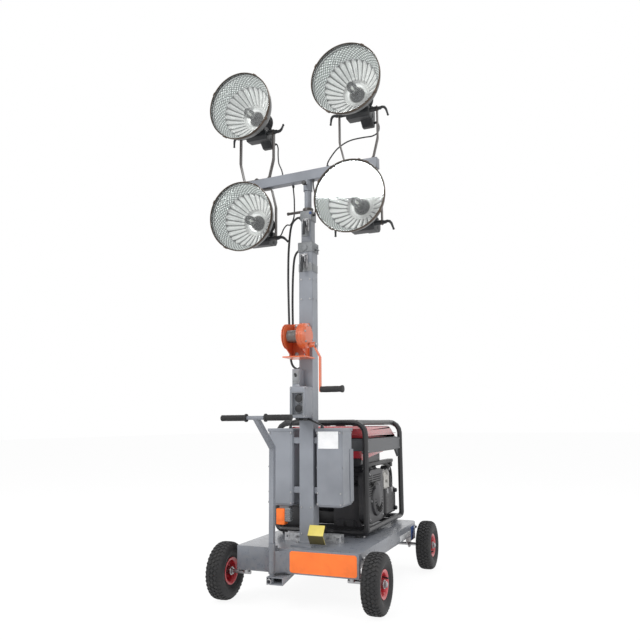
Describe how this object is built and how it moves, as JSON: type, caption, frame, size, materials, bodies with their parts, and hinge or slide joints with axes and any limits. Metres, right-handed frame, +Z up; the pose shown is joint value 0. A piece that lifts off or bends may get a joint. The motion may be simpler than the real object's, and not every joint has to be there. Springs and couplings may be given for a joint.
{
  "type": "mobile light tower",
  "caption": "Hand-steered four-wheel light tower: open-frame generator, telescopic square mast with hand winch, and round floodlights above and below a crossbar.",
  "frame": {"origin": "on the ground, midway between the four wheels' contact points", "axes": "+X to the right as seen from the tow handle, +Y to the rear, +Z up"},
  "size_m": [0.9494, 1.3248, 2.6164],
  "materials": {
    "deck_grey": "semi-gloss",
    "mast_grey": "semi-gloss",
    "galvanised": "galvanised",
    "bar_grey": "painted, satin",
    "yoke_brown": "matt",
    "black_cast": "painted, satin",
    "reflector_metal": "bright",
    "clear_glass": "clear",
    "winch_orange": "gloss",
    "rim_red": "semi-gloss",
    "tyre_rubber": "matt",
    "grip_rubber": "matt",
    "steel": "zinc plated",
    "frame_black": "gloss",
    "tank_red": "gloss",
    "panel_dark": "matt",
    "engine_dark": "cast, dark",
    "filter_black": "matt",
    "pedal_yellow": "semi-gloss",
    "cable_black": "matt"
  },
  "bodies": {
    "base": {"deck": "deck_grey", "rear_axle": "steel", "mast_outer": "mast_grey", "mast_clamp": "galvanised", "winch_frame": "winch_orange", "socket_box": "mast_grey", "ballast_box_left": "mast_grey", "ballast_box_right": "mast_grey", "strut_rail": "galvanised", "foot_pedal": "pedal_yellow", "generator_frame": "frame_black", "fuel_tank": "tank_red", "control_panel": "panel_dark", "engine": "engine_dark", "air_filter": "filter_black", "mast_cable_long": "cable_black", "mast_cable_short": "cable_black", "box_cable": "cable_black"},
    "tow_column": {"tow_column": "deck_grey", "grip_left": "grip_rubber", "grip_right": "grip_rubber"},
    "knuckle_left": {"knuckle_left": "steel"},
    "knuckle_right": {"knuckle_right": "steel"},
    "tie_rod": {"tie_rod": "steel"},
    "wheel_front_left": {"tyre_front_left": "tyre_rubber", "rim_front_left": "rim_red"},
    "wheel_front_right": {"tyre_front_right": "tyre_rubber", "rim_front_right": "rim_red"},
    "wheel_rear_left": {"tyre_rear_left": "tyre_rubber", "rim_rear_left": "rim_red"},
    "wheel_rear_right": {"tyre_rear_right": "tyre_rubber", "rim_rear_right": "rim_red"},
    "mast_middle": {"mast_middle": "mast_grey", "middle_clamp": "galvanised", "head_cable": "cable_black"},
    "top_pole": {"top_pole": "mast_grey"},
    "head": {"crossbar": "bar_grey"},
    "yoke_upper_left": {"yoke_upper_left": "yoke_brown", "lamp_lead_upper_left": "cable_black"},
    "lamp_upper_left": {"lamp_housing_upper_left": "black_cast", "reflector_upper_left": "reflector_metal", "lamp_glass_upper_left": "clear_glass"},
    "yoke_upper_right": {"yoke_upper_right": "yoke_brown", "lamp_lead_upper_right": "cable_black"},
    "lamp_upper_right": {"lamp_housing_upper_right": "black_cast", "reflector_upper_right": "reflector_metal", "lamp_glass_upper_right": "clear_glass"},
    "yoke_lower_left": {"yoke_lower_left": "yoke_brown", "lamp_lead_lower_left": "cable_black"},
    "lamp_lower_left": {"lamp_housing_lower_left": "black_cast", "reflector_lower_left": "reflector_metal", "lamp_glass_lower_left": "clear_glass"},
    "yoke_lower_right": {"yoke_lower_right": "yoke_brown", "lamp_lead_lower_right": "cable_black"},
    "lamp_lower_right": {"lamp_housing_lower_right": "black_cast", "reflector_lower_right": "reflector_metal", "lamp_glass_lower_right": "clear_glass"},
    "winch_drum": {"winch_drum": "winch_orange"},
    "winch_crank": {"winch_crank": "steel"}
  },
  "joints": [
    {"name": "steer", "type": "hinge", "parent": "base", "child": "tow_column", "pos_m": [-0.102, -0.535, 0.2], "axis": [0, 0, 1], "range_deg": [-5.47, 5.47]},
    {"name": "knuckle_left_turn", "type": "hinge", "parent": "base", "child": "knuckle_left", "pos_m": [-0.262, -0.477, 0.2], "axis": [0, 0, 1], "range_deg": [-10.1, 10.1]},
    {"name": "knuckle_right_turn", "type": "hinge", "parent": "base", "child": "knuckle_right", "pos_m": [0.262, -0.477, 0.2], "axis": [0, 0, 1], "range_deg": [-10.1, 10.1]},
    {"name": "tie_rod_turn", "type": "hinge", "parent": "knuckle_left", "child": "tie_rod", "pos_m": [-0.262, -0.407, 0.155], "axis": [0, 0, 1], "range_deg": [-10.1, 10.1]},
    {"name": "wheel_front_left_roll", "type": "hinge", "parent": "knuckle_left", "child": "wheel_front_left", "pos_m": [-0.3725, -0.477, 0.13], "axis": [1, 0, 0], "continuous": true},
    {"name": "wheel_front_right_roll", "type": "hinge", "parent": "knuckle_right", "child": "wheel_front_right", "pos_m": [0.3725, -0.477, 0.13], "axis": [1, 0, 0], "continuous": true},
    {"name": "wheel_rear_left_roll", "type": "hinge", "parent": "base", "child": "wheel_rear_left", "pos_m": [-0.3725, 0.477, 0.13], "axis": [1, 0, 0], "continuous": true},
    {"name": "wheel_rear_right_roll", "type": "hinge", "parent": "base", "child": "wheel_rear_right", "pos_m": [0.3725, 0.477, 0.13], "axis": [1, 0, 0], "continuous": true},
    {"name": "mast_middle_lift", "type": "slide", "parent": "base", "child": "mast_middle", "axis": [0, 0, 1], "range_m": [0, 1.2]},
    {"name": "top_pole_lift", "type": "slide", "parent": "mast_middle", "child": "top_pole", "axis": [0, 0, 1], "range_m": [0, 1.2]},
    {"name": "head_turn", "type": "hinge", "parent": "top_pole", "child": "head", "pos_m": [0, -0.343, 2.0461], "axis": [0, 0, 1], "range_deg": [-170, 170]},
    {"name": "yoke_upper_left_turn", "type": "hinge", "parent": "head", "child": "yoke_upper_left", "pos_m": [-0.30743, -0.3242, 2.0996], "axis": [0, 0, 1], "range_deg": [-20, 20]},
    {"name": "lamp_upper_left_tilt", "type": "hinge", "parent": "yoke_upper_left", "child": "lamp_upper_left", "pos_m": [-0.30743, -0.3242, 2.364], "axis": [1, -0.0052, 0], "range_deg": [-40, 45]},
    {"name": "yoke_upper_right_turn", "type": "hinge", "parent": "head", "child": "yoke_upper_right", "pos_m": [0.285, -0.34449, 2.0996], "axis": [0, 0, 1], "range_deg": [-20, 20]},
    {"name": "lamp_upper_right_tilt", "type": "hinge", "parent": "yoke_upper_right", "child": "lamp_upper_right", "pos_m": [0.285, -0.34449, 2.364], "axis": [0.9999, 0.0105, 0], "range_deg": [-40, 45]},
    {"name": "yoke_lower_left_turn", "type": "hinge", "parent": "head", "child": "yoke_lower_left", "pos_m": [-0.29198, -0.34606, 2.0461], "axis": [0, 0, 1], "range_deg": [-20, 20]},
    {"name": "lamp_lower_left_tilt", "type": "hinge", "parent": "yoke_lower_left", "child": "lamp_lower_left", "pos_m": [-0.29198, -0.34606, 1.77], "axis": [1, -0.0035, 0], "range_deg": [-20, 40]},
    {"name": "yoke_lower_right_turn", "type": "hinge", "parent": "head", "child": "yoke_lower_right", "pos_m": [0.299, -0.34404, 2.0461], "axis": [0, 0, 1], "range_deg": [-20, 20]},
    {"name": "lamp_lower_right_tilt", "type": "hinge", "parent": "yoke_lower_right", "child": "lamp_lower_right", "pos_m": [0.299, -0.34404, 1.77], "axis": [0.9999, -0.0122, 0], "range_deg": [-20, 40]},
    {"name": "crank_turn", "type": "hinge", "parent": "base", "child": "winch_crank", "pos_m": [0.0805, -0.455, 1.18], "axis": [1, 0, 0], "continuous": true},
    {"name": "drum_turn", "type": "hinge", "parent": "base", "child": "winch_drum", "pos_m": [-0.03, -0.455, 1.225], "axis": [1, 0, 0], "continuous": true}
  ],
  "couplings": [
    {"joint": "knuckle_left_turn", "follows": "steer", "ratio": 1.8286},
    {"joint": "knuckle_right_turn", "follows": "steer", "ratio": 1.8286},
    {"joint": "tie_rod_turn", "follows": "steer", "ratio": -1.8286},
    {"joint": "drum_turn", "follows": "crank_turn", "ratio": -0.25}
  ]
}
